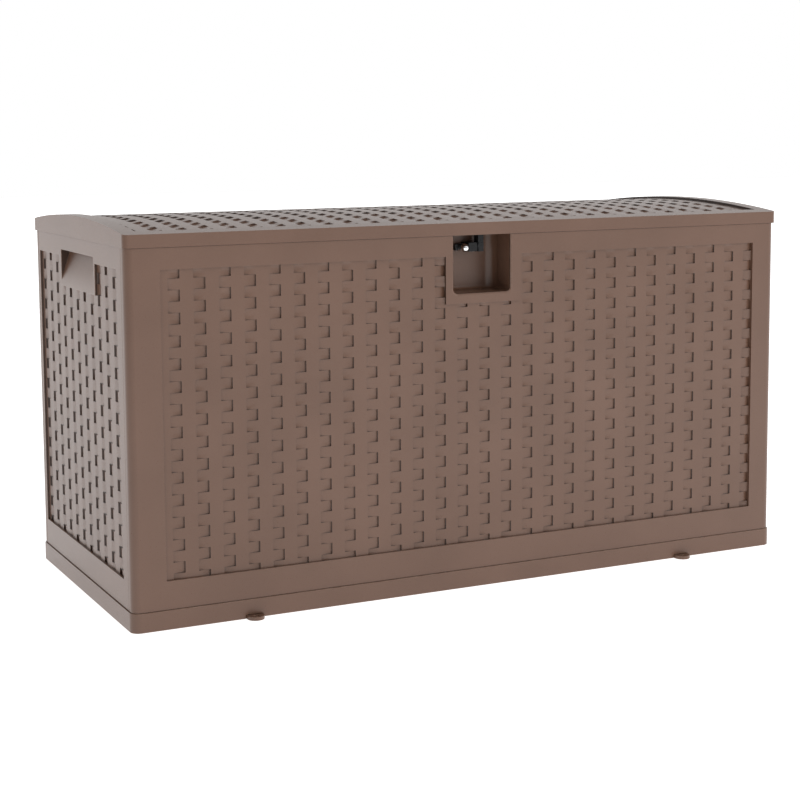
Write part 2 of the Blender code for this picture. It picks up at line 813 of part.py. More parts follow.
def latch_keeper():
    """A tab that hangs from the lid into the recess, with an eye at its foot that the bolt slides into."""
    low = LATCH_X + LUG_SPAN + KEEPER_GAP + SEAT
    high = low + KEEPER_W
    half = GUIDE_H / 2
    ceiling = lid_ceiling(abs(BOLT_Y) + KEEPER_FLANGE / 2) - SEAT
    keeper = block(
        "latch_keeper",
        (low, BOLT_Y - KEEPER_D / 2, BOLT_Z - half),
        (high, BOLT_Y + KEEPER_D / 2, BOLT_Z + half),
    )
    stem = block(
        "keeper_stem",
        (low, BOLT_Y - KEEPER_T / 2, BOLT_Z + half - BITE),
        (high, BOLT_Y + KEEPER_T / 2, ceiling - BITE),
    )
    flange = block(
        "keeper_flange",
        (low - KEEPER_FLANGE_END, BOLT_Y - KEEPER_FLANGE / 2, ceiling - KEEPER_FLANGE_T),
        (high + KEEPER_FLANGE_END, BOLT_Y + KEEPER_FLANGE / 2, ceiling),
    )
    join(keeper, stem, flange)
    bore = round_bar(
        "keeper_bore",
        BOLT_R + KEEPER_CLEARANCE,
        (low - OVERCUT, BOLT_Y, BOLT_Z),
        (high + OVERCUT, BOLT_Y, BOLT_Z),
    )
    cut(keeper, bore)
    return finish(keeper, black())


def latch_screw(name, x):
    """A pan-head screw in the latch housing's plate."""
    plate = -BODY_D / 2 + RECESS_DEPTH - SEAT - HOUSING_T
    under = (x, plate - SEAT, BOLT_Z)
    screw = round_bar(name, LATCH_SCREW_R, (x, plate - SEAT - LATCH_SCREW_H, BOLT_Z), under)
    return finish(screw, zinc(), LATCH_SCREW_ROUND)


# ---- gas struts ------------------------------------------------------------------------------


def strut_line(side):
    """Foot, head and unit direction of the strut with the lid closed."""
    x = side * (BODY_W / 2 - STRUT_X)
    foot = Vector((x, HINGE_Y + STRUT_FOOT_Y, HINGE_Z + STRUT_FOOT_Z))
    head = Vector((x, HINGE_Y + STRUT_HEAD_Y, HINGE_Z + STRUT_HEAD_Z))
    return foot, head, (head - foot).normalized()


def across(point, low, high, side):
    """Two points on an X line through point, low and high measured outward from the strut's centre line."""
    return point + Vector((side * low, 0, 0)), point + Vector((side * high, 0, 0))


def strut_foot_bracket(name, side):
    """A plate on the side wall with the stud that the strut's lower eye turns on."""
    foot = strut_line(side)[0]
    wall = side * (BODY_W / 2 - PANEL_T - SEAT)
    low, high = sorted((wall, wall - side * BRACKET_T))
    plate = block(
        name,
        (low, foot.y - BRACKET_HALF, foot.z - BRACKET_HALF),
        (high, foot.y + BRACKET_HALF, foot.z + BRACKET_HALF),
    )
    reach = abs(wall) - abs(foot.x) - BITE
    join(plate, round_bar(name + "_stud", STUD_R, *across(foot, -EYE_T / 2 - BITE, reach, side)))
    return finish(plate, black())


def strut_cylinder(name, side):
    foot, _, along = strut_line(side)
    tube = round_bar(name, CYLINDER_R, foot + along * CYLINDER_START, foot + along * CYLINDER_END)
    neck_end = foot + along * (CYLINDER_START + BITE)
    neck = round_bar(name + "_neck", NECK_R, foot + along * NECK_START, neck_end, SMALL_SIDES)
    eye = round_bar(name + "_eye", EYE_R, *across(foot, -EYE_T / 2, EYE_T / 2, side))
    join(tube, neck, eye)
    bore = round_bar(
        name + "_bore",
        ROD_R + ROD_CLEARANCE,
        foot + along * (ROD_TAIL - ROD_TAIL_GAP),
        foot + along * (CYLINDER_END + OVERCUT),
    )
    stud_hole = round_bar(name + "_stud_hole", STUD_R + STUD_CLEARANCE, *across(foot, -EYE_T, EYE_T, side))
    cut(tube, bore, stud_hole)
    return finish(tube, black())


def strut_rod(name, side):
    """The polished rod with its end fitting and the stud that points at the lid's bracket."""
    foot, head, along = strut_line(side)
    rod = round_bar(name, ROD_R, foot + along * ROD_TAIL, head - along * BITE)
    eye = round_bar(name + "_eye", ROD_EYE_R, *across(head, -EYE_T / 2, EYE_T / 2, side))
    stud = round_bar(name + "_stud", STUD_R, *across(head, 0.0, lid_bracket_x() - KEEPER_GAP, side))
    join(rod, eye, stud)
    return finish(rod, chrome())


def lid_bracket_x():
    """Distance outward from the strut's centre line to the lid bracket's near face."""
    return STRUT_GAP - LID_BRACKET_GAP


def strut_lid_bracket(name, side):
    """An angle under the lid: its flange is fixed to the lid and its web faces the rod's stud."""
    head = strut_line(side)[1]
    near = lid_bracket_x()
    far = near + LID_BRACKET_T
    low, high = sorted((head.x + side * near, head.x + side * far))
    ceiling = lid_ceiling(abs(head.y) + BRACKET_HALF) - SEAT
    web = block(
        name,
        (low, head.y - BRACKET_HALF, head.z - LID_BRACKET_DROP),
        (high, head.y + BRACKET_HALF, ceiling),
    )
    f_low, f_high = sorted((head.x + side * (near + BITE), head.x + side * (near - LID_BRACKET_FLANGE)))
    flange = block(
        name + "_flange",
        (f_low, head.y - BRACKET_HALF, ceiling - LID_BRACKET_T),
        (f_high, head.y + BRACKET_HALF, ceiling),
    )
    join(web, flange)
    return finish(web, black())


# ---- assembly --------------------------------------------------------------------------------


def build():
    clear_scene()
    base_frame()
    floor_pieces()
    for y_name, side in (("front", -1), ("back", 1)):
        for x_name, end in (("left", -1), ("right", 1)):
            anchor_tab(f"anchor_tab_{y_name}_{x_name}", end * ANCHOR_X, side)
    front_panel()
    back_panel()
    side_panel("side_panel_left", -1)
    side_panel("side_panel_right", 1)
    latch_housing()
    screw_x = LATCH_X + (LUG_T + LUG_SPAN - GUIDE_W) / 2
    for name, shift in (("left", -1), ("right", 1)):
        latch_screw(f"latch_screw_{name}", screw_x + shift * LATCH_SCREW_X)

    lid_axis = axis_empty("lid_axis", (0.0, HINGE_Y, HINGE_Z))
    hang_on(lid_axis, lid_shell(), latch_keeper())
    hang_on(lid_axis, lid_stiffener("lid_stiffener_front", -1), lid_stiffener("lid_stiffener_back", 1))
    for name, x in (("left", -HINGE_X), ("middle", 0.0), ("right", HINGE_X)):
        hinge_body_leaf(f"hinge_body_leaf_{name}", x)
        hinge_pin(f"hinge_pin_{name}", x)
        hang_on(lid_axis, hinge_lid_leaf(f"hinge_lid_leaf_{name}", x))

    bolt_axis = axis_empty("bolt_axis", (LATCH_X, BOLT_Y, BOLT_Z))
    hang_on(bolt_axis, latch_bolt(), latch_knob())

    for name, side in (("left", -1), ("right", 1)):
        strut_foot_bracket(f"strut_foot_bracket_{name}", side)
        foot_axis = axis_empty(f"strut_foot_axis_{name}", strut_line(side)[0])
        hang_on(foot_axis, strut_cylinder(f"strut_cylinder_{name}", side))
        hang_on(foot_axis, strut_rod(f"strut_rod_{name}", side))
        hang_on(lid_axis, strut_lid_bracket(f"strut_lid_bracket_{name}", side))


build()
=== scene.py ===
import math

import bpy
from mathutils import Matrix, Vector


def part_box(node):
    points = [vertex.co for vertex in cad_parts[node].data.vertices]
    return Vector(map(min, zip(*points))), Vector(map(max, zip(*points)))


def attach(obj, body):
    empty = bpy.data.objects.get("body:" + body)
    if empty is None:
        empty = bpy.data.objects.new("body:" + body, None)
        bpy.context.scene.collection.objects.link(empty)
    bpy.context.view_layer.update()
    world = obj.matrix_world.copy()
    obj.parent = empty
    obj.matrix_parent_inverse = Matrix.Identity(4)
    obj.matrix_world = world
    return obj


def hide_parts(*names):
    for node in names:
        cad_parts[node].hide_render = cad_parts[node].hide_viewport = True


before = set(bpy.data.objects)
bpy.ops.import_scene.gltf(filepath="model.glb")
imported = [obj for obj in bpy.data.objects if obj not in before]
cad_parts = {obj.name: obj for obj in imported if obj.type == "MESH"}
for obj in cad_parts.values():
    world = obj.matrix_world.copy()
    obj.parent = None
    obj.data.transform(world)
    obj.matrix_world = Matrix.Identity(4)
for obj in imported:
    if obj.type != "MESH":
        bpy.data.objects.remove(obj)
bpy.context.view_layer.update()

# ---- Studio ------------------------------------------------------------------------------------
# A white room with a pale floor that runs out of sight. Its walls glow softly ahead, behind,
# overhead and to the right, and a wide lamp in front on the right gives the mouldings some shape.

scene = bpy.context.scene
scene.view_settings.view_transform = "Standard"
scene.view_settings.look = "None"

room = bpy.data.worlds.new("white_room")
room.use_nodes = True
wires = room.node_tree
for node in list(wires.nodes):
    wires.nodes.remove(node)
toward = wires.nodes.new("ShaderNodeTexCoord").outputs["Generated"]


def room_glow(direction, start, full, strength):
    """Light from the part of the room's walls that lies round one direction."""
    facing = wires.nodes.new("ShaderNodeVectorMath")
    facing.operation = "DOT_PRODUCT"
    facing.inputs[1].default_value = Vector(direction).normalized()
    wires.links.new(toward, facing.inputs[0])
    glow = wires.nodes.new("ShaderNodeMapRange")
    glow.interpolation_type = "SMOOTHSTEP"
    glow.inputs["From Min"].default_value = start
    glow.inputs["From Max"].default_value = full
    glow.inputs["To Max"].default_value = strength
    wires.links.new(facing.outputs["Value"], glow.inputs["Value"])
    return glow.outputs["Result"]


# ahead, behind, overhead and to the right, with no glow on the left
glows = [
    room_glow((0.30, -0.90, 0.30), 0.45, 0.98, 0.46),
    room_glow((-0.25, 1.0, 0.10), 0.20, 0.75, 0.80),
    room_glow((0.10, -0.30, 1.0), 0.55, 0.98, 0.55),
    room_glow((1.0, -0.10, 0.15), 0.25, 0.90, 0.50),
]
AMBIENT = 0.10
level = None
for glow in glows:
    total = wires.nodes.new("ShaderNodeMath")
    total.operation = "ADD"
    wires.links.new(glow, total.inputs[0])
    if level:
        wires.links.new(level, total.inputs[1])
    else:
        total.inputs[1].default_value = AMBIENT
    level = total.outputs["Value"]
lit = wires.nodes.new("ShaderNodeBackground")
wires.links.new(level, lit.inputs["Strength"])
seen = wires.nodes.new("ShaderNodeBackground")
seen.inputs["Strength"].default_value = 1.0
choose = wires.nodes.new("ShaderNodeMixShader")
wires.links.new(wires.nodes.new("ShaderNodeLightPath").outputs["Is Camera Ray"], choose.inputs["Fac"])
wires.links.new(lit.outputs["Background"], choose.inputs[1])
wires.links.new(seen.outputs["Background"], choose.inputs[2])
room_out = wires.nodes.new("ShaderNodeOutputWorld")
wires.links.new(choose.outputs["Shader"], room_out.inputs["Surface"])
lit.inputs["Color"].default_value = (1.0, 1.0, 1.0, 1.0)
seen.inputs["Color"].default_value = (1.0, 1.0, 1.0, 1.0)
scene.world = room

bpy.ops.object.select_all(action="DESELECT")
bpy.ops.mesh.primitive_plane_add(size=30.0, location=(0.0, 0.0, -0.0006))
floor = bpy.context.object
floor.name = "studio_floor"
floor_paint = bpy.data.materials.new("floor_paint")
floor_paint.use_nodes = True
floor_shader = floor_paint.node_tree.nodes["Principled BSDF"]
floor_shader.inputs["Base Color"].default_value = (0.93, 0.93, 0.93, 1.0)
floor_shader.inputs["Roughness"].default_value = 0.9
floor_shader.inputs["Specular IOR Level"].default_value = 0.1
floor_shader.inputs["Emission Color"].default_value = (1.0, 1.0, 1.0, 1.0)
floor_shader.inputs["Emission Strength"].default_value = 0.85
floor.data.materials.append(floor_paint)

bpy.ops.object.light_add(type="AREA", location=(2.15, -3.05, 1.70))
lamp = bpy.context.object
lamp.name = "soft_lamp"
lamp.data.shape = "RECTANGLE"
lamp.data.size = 1.8
lamp.data.size_y = 1.4
lamp.data.energy = 27.0
lamp.visible_glossy = False
lamp.rotation_euler = (Vector((0.0, 0.0, 0.3)) - lamp.location).to_track_quat("-Z", "Y").to_euler()

CAMERA_PLACE = Vector((-1.3482, -2.7139, 0.7743))
CAMERA_YAW = 26.116
CAMERA_PITCH = 6.380
CAMERA_ROLL = -0.392
bpy.ops.object.camera_add(location=CAMERA_PLACE)
camera = bpy.context.object
camera.name = "studio_camera"
camera.data.lens = 76.85
camera.data.sensor_width = 36.0
camera.data.shift_y = -0.11
camera.matrix_world = (
    Matrix.Translation(CAMERA_PLACE)
    @ Matrix.Rotation(math.radians(-CAMERA_YAW), 4, "Z")
    @ Matrix.Rotation(math.radians(90.0 - CAMERA_PITCH), 4, "X")
    @ Matrix.Rotation(math.radians(CAMERA_ROLL), 4, "Z")
)
scene.camera = camera


# ---- Resin -------------------------------------------------------------------------------------
# Injection-moulded polypropylene, dyed through. The mould leaves a fine even grain, and the colour
# drifts a little from place to place where the pigment flowed.

PAINTED_STEP_SHADE = 0.72  # how far a moulded step's colour is darkened towards the step colour, as painted shade in the crevice


def new_group(name, inputs, outputs):
    """An empty shader node group with its sockets made, and its input and output nodes."""
    group = bpy.data.node_groups.new(name, "ShaderNodeTree")
    for socket, kind, value in inputs:
        made = group.interface.new_socket(socket, in_out="INPUT", socket_type=kind)
        made.default_value = value
    for socket, kind in outputs:
        group.interface.new_socket(socket, in_out="OUTPUT", socket_type=kind)
    return group, group.nodes.new("NodeGroupInput"), group.nodes.new("NodeGroupOutput")


def noise_into(group, place, scale_from, detail, roughness):
    noise = group.nodes.new("ShaderNodeTexNoise")
    noise.inputs["Detail"].default_value = detail
    noise.inputs["Roughness"].default_value = roughness
    group.links.new(place, noise.inputs["Vector"])
    group.links.new(scale_from, noise.inputs["Scale"])
    return noise.outputs["Fac"]


def ranged(group, value, low, high, out_low, out_high):
    """A Map Range whose output limits may be sockets or numbers."""
    node = group.nodes.new("ShaderNodeMapRange")
    group.links.new(value, node.inputs["Value"])
    node.inputs["From Min"].default_value = low
    node.inputs["From Max"].default_value = high
    for socket, wanted in (("To Min", out_low), ("To Max", out_high)):
        if isinstance(wanted, float):
            node.inputs[socket].default_value = wanted
        else:
            group.links.new(wanted, node.inputs[socket])
    return node.outputs["Result"]


def blended(group, factor, first, second):
    mix = group.nodes.new("ShaderNodeMix")
    mix.data_type = "RGBA"
    group.links.new(factor, mix.inputs["Factor"])
    group.links.new(first, mix.inputs["A"])
    group.links.new(second, mix.inputs["B"])
    return mix.outputs["Result"]


def face_mask(group, attribute):
    """1 on the faces that carry the mark, 0 elsewhere and on a piece without it."""
    mark = group.nodes.new("ShaderNodeAttribute")
    mark.attribute_name = attribute
    return mark.outputs["Fac"]


resin_surface, resin_in, resin_out = new_group(
    "moulded_resin_surface",
    [
        ("Dark Colour", "NodeSocketColor", (0.140, 0.068, 0.039, 1.0)),
        ("Light Colour", "NodeSocketColor", (0.170, 0.086, 0.051, 1.0)),
        ("Smoothest", "NodeSocketFloat", 0.34),
        ("Roughest", "NodeSocketFloat", 0.46),
        ("Worn Colour", "NodeSocketColor", (0.230, 0.150, 0.110, 1.0)),
        # the step colour is painted shade for the little walls in the woven fields
        ("Step Shade Colour", "NodeSocketColor", (0.020, 0.010, 0.006, 1.0)),
        ("Flow Scale", "NodeSocketFloat", 7.0),
        ("Wear Scale", "NodeSocketFloat", 60.0),
        ("Grain Scale", "NodeSocketFloat", 900.0),
        ("Grain Depth", "NodeSocketFloat", 0.00006),
    ],
    [("Colour", "NodeSocketColor"), ("Roughness", "NodeSocketFloat"), ("Normal", "NodeSocketVector")],
)
place = resin_surface.nodes.new("ShaderNodeTexCoord").outputs["Object"]
flow = noise_into(resin_surface, place, resin_in.outputs["Flow Scale"], 3.0, 0.55)
grain = noise_into(resin_surface, place, resin_in.outputs["Grain Scale"], 2.0, 0.5)
tint = blended(
    resin_surface,
    ranged(resin_surface, flow, 0.3, 0.7, 0.0, 1.0),
    resin_in.outputs["Dark Colour"],
    resin_in.outputs["Light Colour"],
)
rubbed = face_mask(resin_surface, "rubbed_edge")
patchy = noise_into(resin_surface, place, resin_in.outputs["Wear Scale"], 4.0, 0.7)
worn = resin_surface.nodes.new("ShaderNodeMath")
worn.operation = "MULTIPLY"
resin_surface.links.new(rubbed, worn.inputs[0])
resin_surface.links.new(ranged(resin_surface, patchy, 0.42, 0.62, 0.05, 0.6), worn.inputs[1])
tint = blended(resin_surface, worn.outputs["Value"], tint, resin_in.outputs["Worn Colour"])
# painted shade: the marked step walls are darkened most of the way to the near-black step colour
step_shading = resin_surface.nodes.new("ShaderNodeMath")
step_shading.operation = "MULTIPLY"
step_shading.inputs[1].default_value = PAINTED_STEP_SHADE
resin_surface.links.new(face_mask(resin_surface, "moulded_step"), step_shading.inputs[0])
tint = blended(resin_surface, step_shading.outputs["Value"], tint, resin_in.outputs["Step Shade Colour"])
resin_surface.links.new(tint, resin_out.inputs["Colour"])
sheen = ranged(
    resin_surface, grain, 0.3, 0.7, resin_in.outputs["Smoothest"], resin_in.outputs["Roughest"]
)
resin_surface.links.new(sheen, resin_out.inputs["Roughness"])
dimple = resin_surface.nodes.new("ShaderNodeBump")
dimple.inputs["Strength"].default_value = 1.0
resin_surface.links.new(resin_in.outputs["Grain Depth"], dimple.inputs["Distance"])
resin_surface.links.new(grain, dimple.inputs["Height"])
resin_surface.links.new(dimple.outputs["Normal"], resin_out.inputs["Normal"])


def surfaced_material(name, group, colours, numbers):
    """A material on one of the surface groups, with its own colours and numbers set there."""
    made = bpy.data.materials.new(f"{name}_finish")
    made["slot"] = name
    made.use_nodes = True
    shader = made.node_tree.nodes["Principled BSDF"]
    surface = made.node_tree.nodes.new("ShaderNodeGroup")
    surface.node_tree = group
    for socket, colour in colours.items():
        surface.inputs[socket].default_value = (*colour, 1.0)
    for socket, number in numbers.items():
        surface.inputs[socket].default_value = number
    made.node_tree.links.new(surface.outputs["Colour"], shader.inputs["Base Color"])
    made.node_tree.links.new(surface.outputs["Roughness"], shader.inputs["Roughness"])
    made.node_tree.links.new(surface.outputs["Normal"], shader.inputs["Normal"])
    return made, shader


def resin_material(name, dark, light, smoothest, roughest):
    made, shader = surfaced_material(
        name,
        resin_surface,
        {"Dark Colour": dark, "Light Colour": light},
        {"Smoothest": smoothest, "Roughest": roughest},
    )
    shader.inputs["IOR"].default_value = 1.49
    return made


brown_resin = resin_material(
    "brown_resin", (0.122, 0.063, 0.040), (0.142, 0.075, 0.049), 0.27, 0.38
)


# ---- Front wall --------------------------------------------------------------------------------
# One brown resin moulding with a basket-weave field, sunk below a smooth border. Upright stakes
# stand 41 mm apart, and flat strips 17.5 mm high pass over one stake and dive under the next.

STAKE_PITCH = 0.0412
STAKE_W = 0.0220
STRIP_H = 0.0175
DIVE = 0.0032  # how far a strip drops before it goes under a stake
DRAFT = 0.0003  # run of the moulded step beside a stake
ROW_DRAFT = 0.0002
FIELD_SINK = 0.0040
FIELD_SKIM = 0.00003  # the weave cutter's flats stay this far above the field's floor
FIELD_EDGE = 0.00005
CUTTER_H = 0.005
STEP_DEPTHS = (0.001, 0.009)  # below the border, between which a steep face is a moulded step
SMOOTH_ANGLE = math.radians(28)


def only(obj):
    """Selects one object and nothing else."""
    bpy.ops.object.select_all(action="DESELECT")
    obj.select_set(True)
    bpy.context.view_layer.objects.active = obj


def moulding_from(node, name):
    """A new piece that starts as a merged copy of a CAD node's mesh."""
    made = bpy.data.objects.new(name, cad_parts[node].data.copy())
    scene.collection.objects.link(made)
    only(made)
    bpy.ops.object.mode_set(mode="EDIT")
    bpy.ops.mesh.select_all(action="SELECT")
    bpy.ops.mesh.remove_doubles(threshold=0.000005)
    bpy.ops.mesh.dissolve_limited(angle_limit=math.radians(0.05))
    bpy.ops.object.mode_set(mode="OBJECT")
    made.data.materials.clear()
    return made


def apply_modifier(obj, kind, **settings):
    only(obj)
    modifier = obj.modifiers.new(kind.lower(), kind)
    for name, value in settings.items():
        setattr(modifier, name, value)
    bpy.ops.object.modifier_apply(modifier=modifier.name)


def carve(obj, cutter, operation="DIFFERENCE"):
    """Cuts obj with a closed cutter, and throws the cutter away."""
    apply_modifier(obj, "BOOLEAN", operation=operation, object=cutter, solver="EXACT")
    bpy.data.objects.remove(cutter)


def edit_vertices(obj, wanted):
    """Goes into edit mode with only those vertices selected whose place is wanted."""
    only(obj)
    for part in list(obj.data.edges) + list(obj.data.polygons):
        part.select = False
    for vertex in obj.data.vertices:
        vertex.select = wanted(vertex.co)
    bpy.ops.object.mode_set(mode="EDIT")
    bpy.ops.mesh.select_mode(type="VERT")


def cut_line(obj, across, at, **clear):
    """Scores the whole sheet along one straight line, and may clear one side of it."""
    only(obj)
    bpy.ops.object.mode_set(mode="EDIT")
    bpy.ops.mesh.select_all(action="SELECT")
    bpy.ops.mesh.bisect(plane_co=[at * c for c in across], plane_no=across, **clear)
    bpy.ops.object.mode_set(mode="OBJECT")


def weave_cutter(name, even_stake, even_row, low_u, high_u, low_v, high_v):
    """The space outside a flat woven field: u runs along the strips, v across them, +Z is outward.
    even_stake and even_row are the middles of a stake and a strip that cross with the strip below."""
    u_repeat = 2 * STAKE_PITCH
    v_repeat = 2 * STRIP_H
    half = STAKE_W / 2
    bpy.ops.object.select_all(action="DESELECT")
    bpy.ops.mesh.primitive_plane_add(size=1.0, location=(0.5, 0.5, 0.0))
    sheet = bpy.context.object
    sheet.name = name
    bpy.ops.object.transform_apply(location=True)
    sheet.scale = (u_repeat, v_repeat, 1.0)
    bpy.ops.object.transform_apply(scale=True)
    gap_ends = (half, STAKE_PITCH - half, STAKE_PITCH + half, u_repeat - half)
    floor_ends = (gap_ends[0] + DRAFT, gap_ends[1] - DRAFT, gap_ends[2] + DRAFT, gap_ends[3] - DRAFT)
    rows = (STRIP_H / 2, STRIP_H * 1.5)
    for at in gap_ends + floor_ends:
        cut_line(sheet, (1, 0, 0), at)
    for at in rows:
        cut_line(sheet, (0, 1, 0), at - ROW_DRAFT)
        cut_line(sheet, (0, 1, 0), at + ROW_DRAFT)

    def dives(place):
        in_even_row = not rows[0] < place.y < rows[1]
        ends = (floor_ends[0], floor_ends[3]) if in_even_row else (floor_ends[1], floor_ends[2])
        return min(abs(place.x - end) for end in ends) < DRAFT / 4

    edit_vertices(sheet, dives)
    bpy.ops.transform.translate(value=(0.0, 0.0, -DIVE))
    bpy.ops.object.mode_set(mode="OBJECT")
    start_u = even_stake - u_repeat * math.ceil((even_stake - low_u) / u_repeat)
    start_v = even_row - v_repeat * math.ceil((even_row - low_v) / v_repeat)
    for offset, count in (
        ((u_repeat, 0.0, 0.0), math.ceil((high_u - start_u) / u_repeat)),
        ((0.0, v_repeat, 0.0), math.ceil((high_v - start_v) / v_repeat)),
    ):
        apply_modifier(
            sheet,
            "ARRAY",
            count=count,
            use_relative_offset=False,
            use_constant_offset=True,
            constant_offset_displace=offset,
            use_merge_vertices=True,
            merge_threshold=0.00001,
        )
    sheet.location = (start_u, start_v, 0.0)
    only(sheet)
    bpy.ops.object.transform_apply(location=True)
    for axis, low, high in (((1, 0, 0), low_u, high_u), ((0, 1, 0), low_v, high_v)):
        cut_line(sheet, axis, low + FIELD_EDGE, clear_inner=True)
        cut_line(sheet, axis, high - FIELD_EDGE, clear_outer=True)
    return sheet


def thicken_outward(sheet):
    """Makes the sheet a closed block that reaches CUTTER_H outward of it."""
    only(sheet)
    bpy.ops.object.mode_set(mode="EDIT")
    bpy.ops.mesh.select_all(action="SELECT")
    bpy.ops.mesh.extrude_region_move(TRANSFORM_OT_translate={"value": (0.0, 0.0, CUTTER_H)})
    bpy.ops.mesh.select_all(action="SELECT")
    bpy.ops.mesh.normals_make_consistent(inside=False)
    bpy.ops.object.mode_set(mode="OBJECT")


def stand_up(obj, turn, face):
    """Turns a flat cutter upright and moves its outward side to a wall's sunk field."""
    obj.matrix_world = Matrix.Translation(face) @ turn.to_4x4()
    only(obj)
    bpy.ops.object.transform_apply(location=True, rotation=True)


def soften(obj, width, segments=2):
    """Rounds the moulded or pressed edges."""
    apply_modifier(
        obj,
        "BEVEL",
        width=width,
        segments=segments,
        limit_method="ANGLE",
        angle_limit=math.radians(34),
    )


def mark_rubbed(obj, width):
    """Marks the narrow strips along rounded edges, where hands and tools rub."""
    marks = obj.data.attributes.new("rubbed_edge", "FLOAT", "FACE")
    points = obj.data.vertices
    for face in obj.data.polygons:
        longest = max((points[a].co - points[b].co).length for a, b in face.edge_keys)
        marks.data[face.index].value = float(face.area / max(longest, 1e-9) < width)


def mark_steps(obj, outward, skin, low, high):
    """Marks the steep little walls in a woven field, which the resin material darkens as painted shade.
    """
    marks = obj.data.attributes.new("moulded_step", "FLOAT", "FACE")
    outward = Vector(outward)
    for face in obj.data.polygons:
        depth = skin - face.center.dot(outward)
        inside = all(a < c < b for a, c, b in zip(low, face.center, high))
        steep = abs(face.normal.dot(outward)) < 0.5
        deep = STEP_DEPTHS[0] < depth < STEP_DEPTHS[1]
        marks.data[face.index].value = float(inside and steep and deep)


def finish_moulding(obj, material, body, *nodes, rub=0.0011):
    """Smooth rounds, flat flats, and the CAD body that the piece belongs to."""
    only(obj)
    mark_rubbed(obj, rub)
    obj.data.materials.append(material)
    bpy.ops.object.shade_smooth_by_angle(angle=SMOOTH_ANGLE)
    apply_modifier(obj, "WEIGHTED_NORMAL", keep_sharp=True)
    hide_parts(*nodes)
    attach(obj, body)


def finish_addition(obj, material, body):
    """The same finish for a small piece that no CAD node stands for."""
    only(obj)
    obj.data.materials.append(material)
    bpy.ops.object.shade_smooth_by_angle(angle=SMOOTH_ANGLE)
    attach(obj, body)


def box_cutter(name, low, high):
    bpy.ops.object.select_all(action="DESELECT")
    bpy.ops.mesh.primitive_cube_add(size=1.0, location=(Vector(low) + Vector(high)) / 2)
    made = bpy.context.object
    made.name = name
    made.scale = Vector(high) - Vector(low)
    bpy.ops.object.transform_apply(location=True, scale=True)
    return made


FRONT_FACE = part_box("front_panel")[0].y
FRONT_FIELD_X = (-0.5474, 0.5546)
STEP_INSET = 0.0001  # keeps the field's own end walls from being marked as moulded steps
FRONT_PLATE_X = (-0.0631, 0.0785)
FRONT_PLATE_LOW_Z = 0.4763
PLATE_REACH = 0.02  # how far a plate's cutter runs past the wall's face, each way
PLATE_TOP_Z = 0.6
RECESS_LOW_Z = 0.49
LIP_R = 0.0036
FIELD_LOW_Z = 0.0761
FIELD_HIGH_Z = 0.5545
EVEN_ROW_Z = 0.5405 - 1.5 * STRIP_H
FRONT_STAKE_X = -0.5155 + STAKE_W / 2
RECESS_X = 0.0045
RECESS_HALF = 0.0529
upright_front = Matrix(((1, 0, 0), (0, 0, -1), (0, 1, 0)))


def on_recess_lip(place):
    """True on the wall's outer face, round the mouth of the latch recess."""
    on_face = abs(place.y - FRONT_FACE) < 0.00002
    return on_face and abs(place.x - RECESS_X) < RECESS_HALF and place.z > RECESS_LOW_Z


front_wall = moulding_from("front_panel", "front_wall")
edit_vertices(front_wall, on_recess_lip)
bpy.ops.mesh.bevel(offset=LIP_R, segments=5, affect="EDGES")
bpy.ops.object.mode_set(mode="OBJECT")
soften(front_wall, 0.0010)
front_weave = weave_cutter(
    "front_weave", FRONT_STAKE_X, EVEN_ROW_Z, *FRONT_FIELD_X, FIELD_LOW_Z, FIELD_HIGH_Z
)
thicken_outward(front_weave)
stand_up(front_weave, upright_front, (0.0, FRONT_FACE + FIELD_SINK - FIELD_SKIM, 0.0))
plate_low = (FRONT_PLATE_X[0], FRONT_FACE - PLATE_REACH, FRONT_PLATE_LOW_Z)
plate_high = (FRONT_PLATE_X[1], FRONT_FACE + PLATE_REACH, PLATE_TOP_Z)
carve(front_weave, box_cutter("plate_space", plate_low, plate_high))
carve(front_wall, front_weave)
mark_steps(
    front_wall,
    (0, -1, 0),
    -FRONT_FACE,
    (FRONT_FIELD_X[0] + STEP_INSET, -1.0, FIELD_LOW_Z),
    (FRONT_FIELD_X[1] - STEP_INSET, 1.0, FIELD_HIGH_Z),
)
finish_moulding(front_wall, brown_resin, "box", "front_panel")


# ---- Back wall ---------------------------------------------------------------------------------
# The same moulding as the front without the latch recess. Its weave runs right across, and the
# three hinge leaves are screwed to the smooth rail above it.

upright_back = Matrix(((-1, 0, 0), (0, 0, 1), (0, 1, 0)))
BACK_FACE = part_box("back_panel")[1].y
BACK_HALF = 0.551
back_wall = moulding_from("back_panel", "back_wall")
soften(back_wall, 0.0012)
back_weave = weave_cutter(
    "back_weave", STAKE_PITCH / 2, EVEN_ROW_Z, -BACK_HALF, BACK_HALF, FIELD_LOW_Z, FIELD_HIGH_Z
)
thicken_outward(back_weave)
stand_up(back_weave, upright_back, (0.0, BACK_FACE - FIELD_SINK + FIELD_SKIM, 0.0))
carve(back_wall, back_weave)
mark_steps(
    back_wall, (0, 1, 0), BACK_FACE, (-BACK_HALF, -1.0, FIELD_LOW_Z), (BACK_HALF, 1.0, FIELD_HIGH_Z)
)
finish_moulding(back_wall, brown_resin, "box", "back_panel")


# ---- Side walls --------------------------------------------------------------------------------
# Shorter mouldings of the same weave between the wrapped corners. A smooth plate near the top
# holds a wedge-shaped hand-hold that is deepest under its upper edge.

